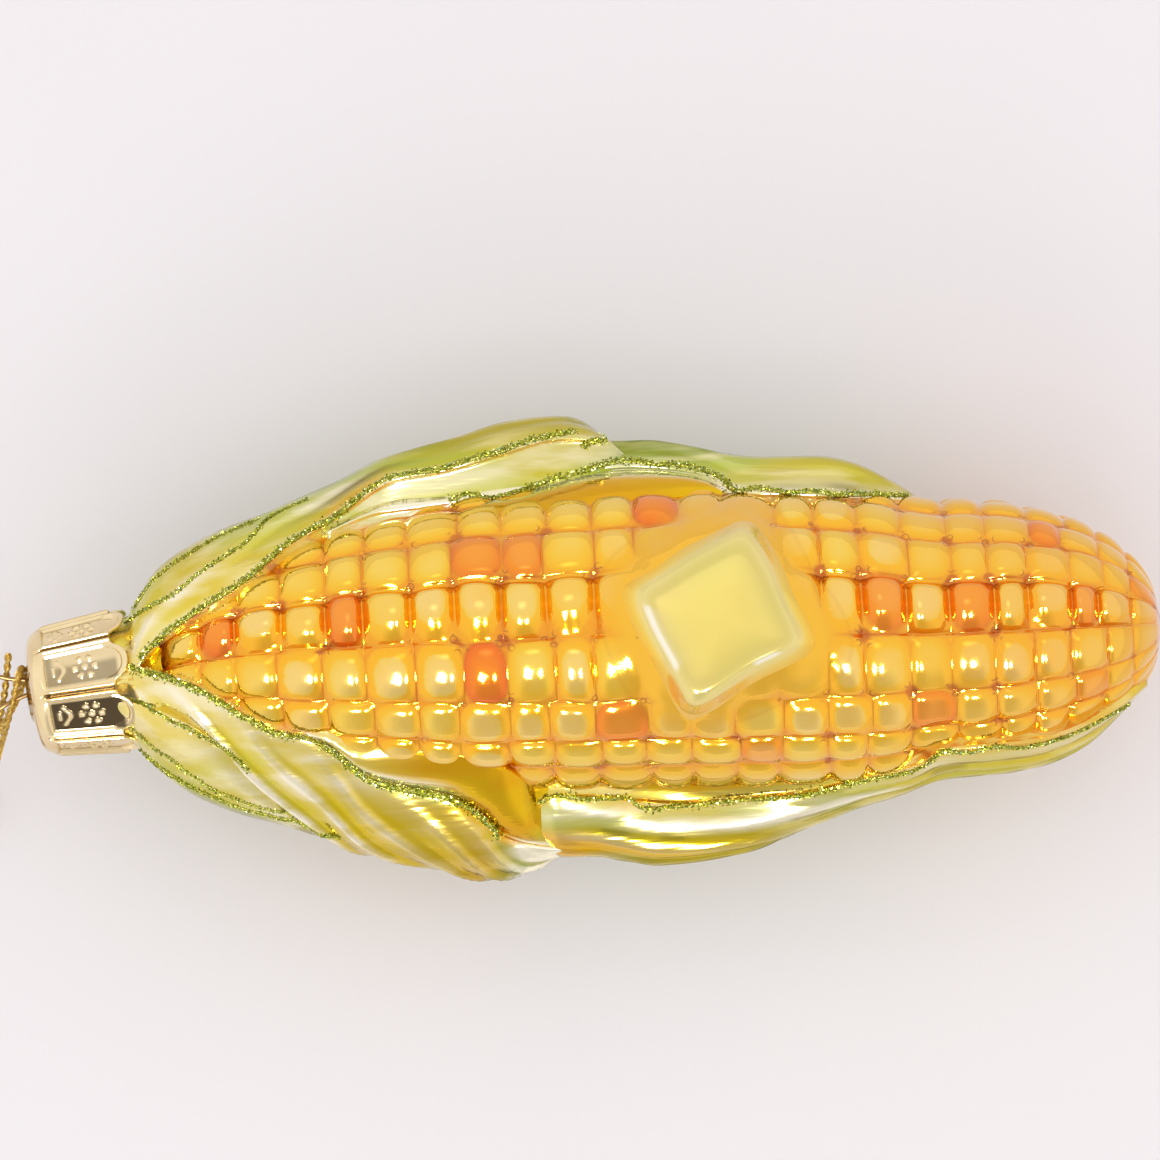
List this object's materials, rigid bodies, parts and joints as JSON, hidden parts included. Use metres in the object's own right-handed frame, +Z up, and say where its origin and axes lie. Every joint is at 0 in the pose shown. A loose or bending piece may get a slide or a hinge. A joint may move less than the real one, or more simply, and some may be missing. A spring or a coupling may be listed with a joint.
{
  "type": "glass corn cob christmas ornament",
  "caption": "Blown-glass ornament shaped as an ear of corn in its husk with a pat of butter, under a metal crown cap with a wire hanger and a string.",
  "frame": {"origin": "middle of the flat spot on the back that the ornament rests on", "axes": "+X along the ear from the cap to the tip, +Y across it, +Z up out of the front with the kernels and the butter"},
  "size_m": [0.147, 0.0525, 0.0412],
  "materials": {
    "lacquered_glass": "mould-blown glass, silvered inside, with translucent amber, green and butter-yellow lacquer and glitter on the leaf edges",
    "gold_cap": "pressed and bright plated in pale gold",
    "gold_wire": "drawn wire, darkened gold",
    "gold_string": "two-ply twisted metallic string"
  },
  "bodies": {
    "root": {"glass_body": "lacquered_glass", "cap": "gold_cap", "hanger_wire": "gold_wire", "cord": "gold_string", "cord_coil": "gold_string", "cord_knot": "gold_string"}
  },
  "joints": []
}
